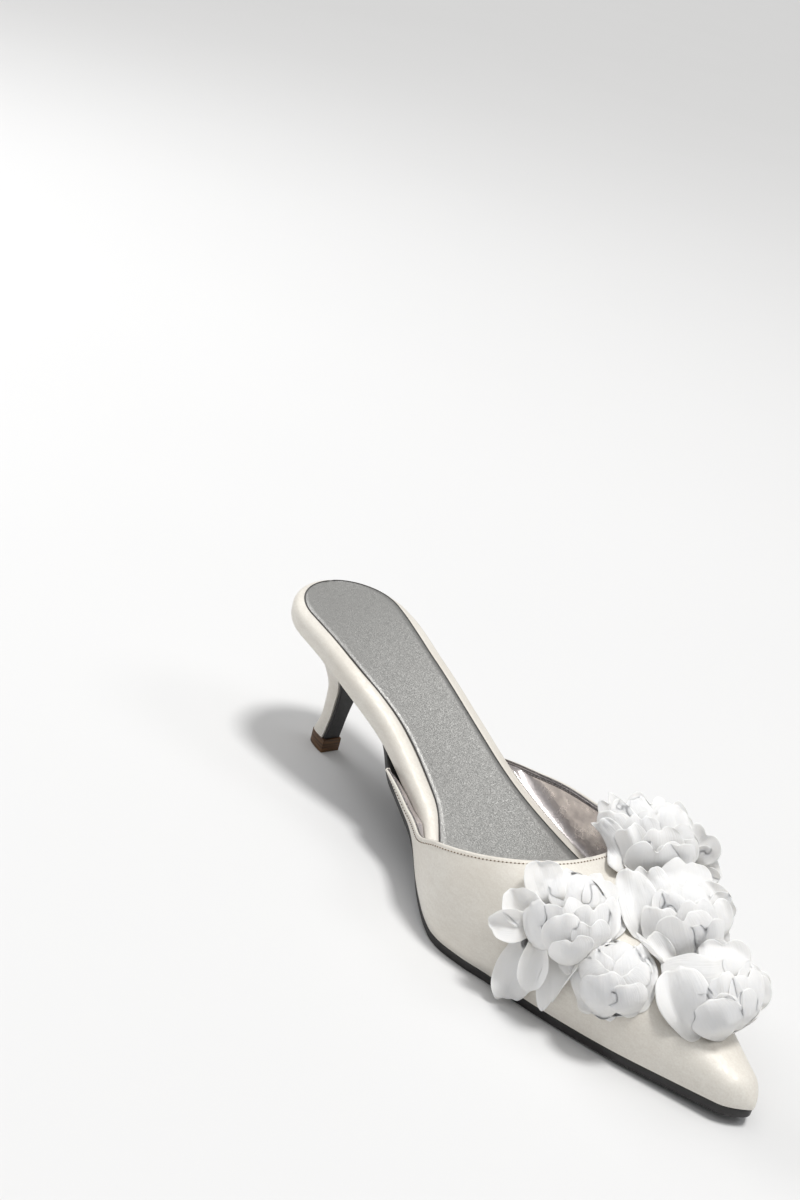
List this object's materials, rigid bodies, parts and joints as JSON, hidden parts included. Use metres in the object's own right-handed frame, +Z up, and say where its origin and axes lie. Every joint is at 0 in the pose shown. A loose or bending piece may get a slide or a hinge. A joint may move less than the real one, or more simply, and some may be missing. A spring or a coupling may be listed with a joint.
{
  "type": "womens kitten heel mule",
  "caption": "Left pointed-toe mule in satin on a curved kitten heel, with a padded footbed, a metallic sock and cloth flowers across its vamp.",
  "frame": {"origin": "on the floor under the middle of the forefoot tread", "axes": "+X to the toe, +Y to the wearer's left (the outer side of this left shoe), +Z up"},
  "size_m": [0.2578, 0.0909, 0.0622],
  "materials": {
    "satin": "ivory satin with a soft sheen",
    "metallic_leather": "silver metallic, fine grain with a glitter",
    "sole_leather": "near black, smooth",
    "heel_tip": "brown stacked leather",
    "flower_cloth": "cool white, thin and matt"
  },
  "bodies": {
    "root": {"outsole": "sole_leather", "top_lift": "heel_tip", "heel": "satin", "footbed": "satin", "sock_lining": "metallic_leather", "upper": "satin", "bloom_collar": "flower_cloth", "bloom_crest": "flower_cloth", "bloom_inner": "flower_cloth", "bud_inner": "flower_cloth", "bud_toe": "flower_cloth"}
  },
  "joints": []
}
